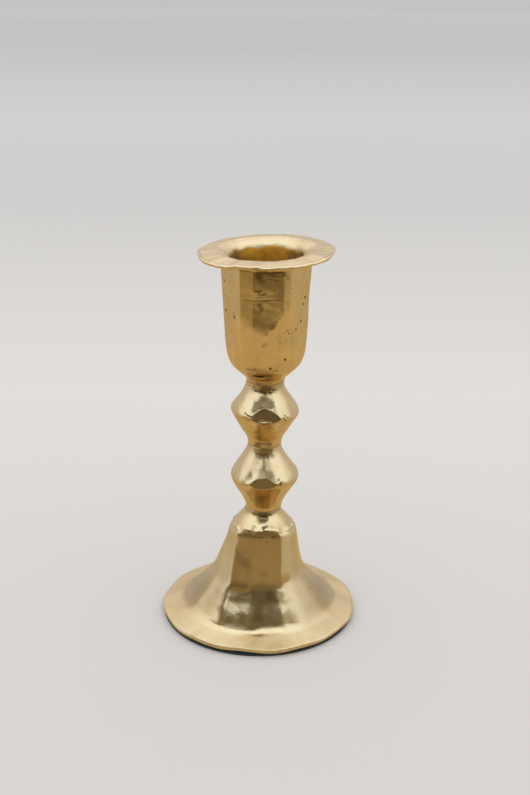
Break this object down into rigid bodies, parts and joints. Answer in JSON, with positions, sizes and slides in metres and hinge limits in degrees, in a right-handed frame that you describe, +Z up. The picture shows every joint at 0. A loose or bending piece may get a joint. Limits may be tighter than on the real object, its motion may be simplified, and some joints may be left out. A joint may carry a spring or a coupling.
{
  "type": "candlestick",
  "caption": "Hammered brass candlestick with a hollow bell foot, stacked knops, a wide-rimmed candle cup and a felt underside.",
  "frame": {"origin": "middle of the felt's underside, on the table, under the axis of the flange", "axes": "+Z up along the stem; +X the way the stem leans and the side on which the rim is higher; -Y the front"},
  "size_m": [0.0652, 0.0652, 0.1264],
  "materials": {
    "cup_brass": "hammered, softly polished",
    "knop_brass": "turned, polished, bruised along the ridge",
    "foot_brass": "hammered, softly polished",
    "zinc_steel": "zinc plated",
    "spring_steel": "blackened",
    "grey_board": "plain pressed board",
    "green_felt": "dark green wool felt"
  },
  "bodies": {
    "root": {"candle_cup": "cup_brass", "upper_knop": "knop_brass", "lower_knop": "knop_brass", "foot": "foot_brass", "tie_rod": "zinc_steel", "crown_washer": "zinc_steel", "lock_washer": "spring_steel", "hex_nut": "zinc_steel", "base_board": "grey_board", "base_felt": "green_felt"}
  },
  "joints": []
}
